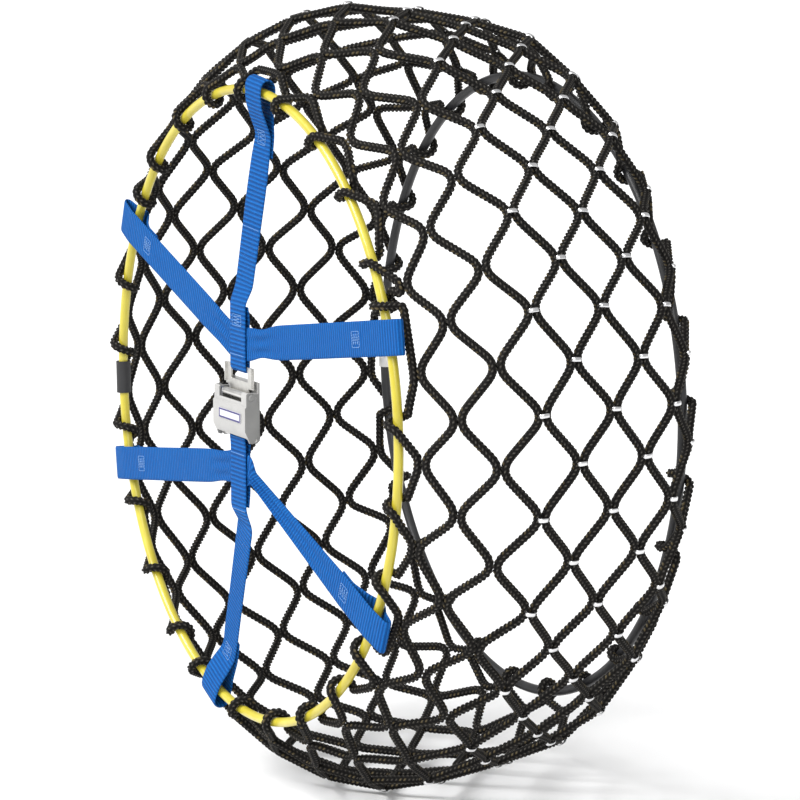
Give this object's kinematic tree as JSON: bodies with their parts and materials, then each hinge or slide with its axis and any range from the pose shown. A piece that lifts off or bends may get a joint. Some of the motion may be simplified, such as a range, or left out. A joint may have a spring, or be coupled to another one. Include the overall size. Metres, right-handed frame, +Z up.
{
  "type": "tire snow chains",
  "caption": "Textile tyre snow net in its fitted shape: stapled rope meshes, two cable hoops, webbing straps and a lift-cover latch",
  "frame": {"origin": "centre of the tyre that the net is fitted to, on the wheel axle", "axes": "+Z up, Y along the wheel axle with the outboard side facing -Y, +X to the right seen from outboard"},
  "size_m": [0.6438, 0.2859, 0.644],
  "materials": {
    "cord": "black braided cord with small yellow flecks",
    "yellow_cable": "glossy yellow cable coating",
    "dark_cable": "black cable coating",
    "webbing": "ribbed blue webbing",
    "black_plastic": "matte black sleeve",
    "light_paint": "light grey paint",
    "steel": "bright steel",
    "spring_steel": "spring wire",
    "label": "blank plate"
  },
  "bodies": {
    "net": {"net_cord_01": "cord", "net_cord_02": "cord", "net_cord_03": "cord", "net_cord_04": "cord", "net_cord_05": "cord", "net_cord_06": "cord", "net_cord_07": "cord", "net_cord_08": "cord", "net_cord_09": "cord", "net_cord_10": "cord", "outer_hoop": "yellow_cable", "inner_hoop": "dark_cable", "top_strap": "webbing", "bottom_strap": "webbing", "upper_band": "webbing", "lower_band": "webbing", "outer_hoop_sleeve": "black_plastic", "latch_base": "light_paint", "outer_hoop_ferrule": "steel", "inner_hoop_socket": "steel", "inner_hoop_plug": "steel", "hinge_pin": "steel", "lower_bar": "steel", "collar_spring": "spring_steel", "cover_spring": "spring_steel"},
    "tongue": {"tongue_plate": "light_paint"},
    "cover": {"latch_cover": "light_paint", "latch_pawl": "steel", "label_plate": "label"},
    "roller": {"hinge_roller": "steel"},
    "collar": {"inner_lock_collar": "steel"}
  },
  "joints": [
    {"name": "cover_lift", "type": "hinge", "parent": "net", "child": "cover", "pos_m": [0, -0.141, 0.012], "axis": [-1, 0, 0], "range_deg": [0, 78], "stiffness_Nm_per_rad": 0.02, "springref_deg": -28.65},
    {"name": "tongue_slide", "type": "slide", "parent": "net", "child": "tongue", "axis": [0, 0, 1], "range_m": [0, 0.004]},
    {"name": "roller_spin", "type": "hinge", "parent": "net", "child": "roller", "pos_m": [0, -0.141, 0.012], "axis": [1, 0, 0], "continuous": true},
    {"name": "collar_slide", "type": "slide", "parent": "net", "child": "collar", "axis": [0, 0, 1], "range_m": [0, 0.004], "stiffness_N_per_m": 400, "springref_m": -0.002, "deforming": ["collar_spring"]}
  ],
  "couplings": [
    {"joint": "tongue_slide", "follows": "cover_lift", "m_per_rad": 0.0029}
  ]
}
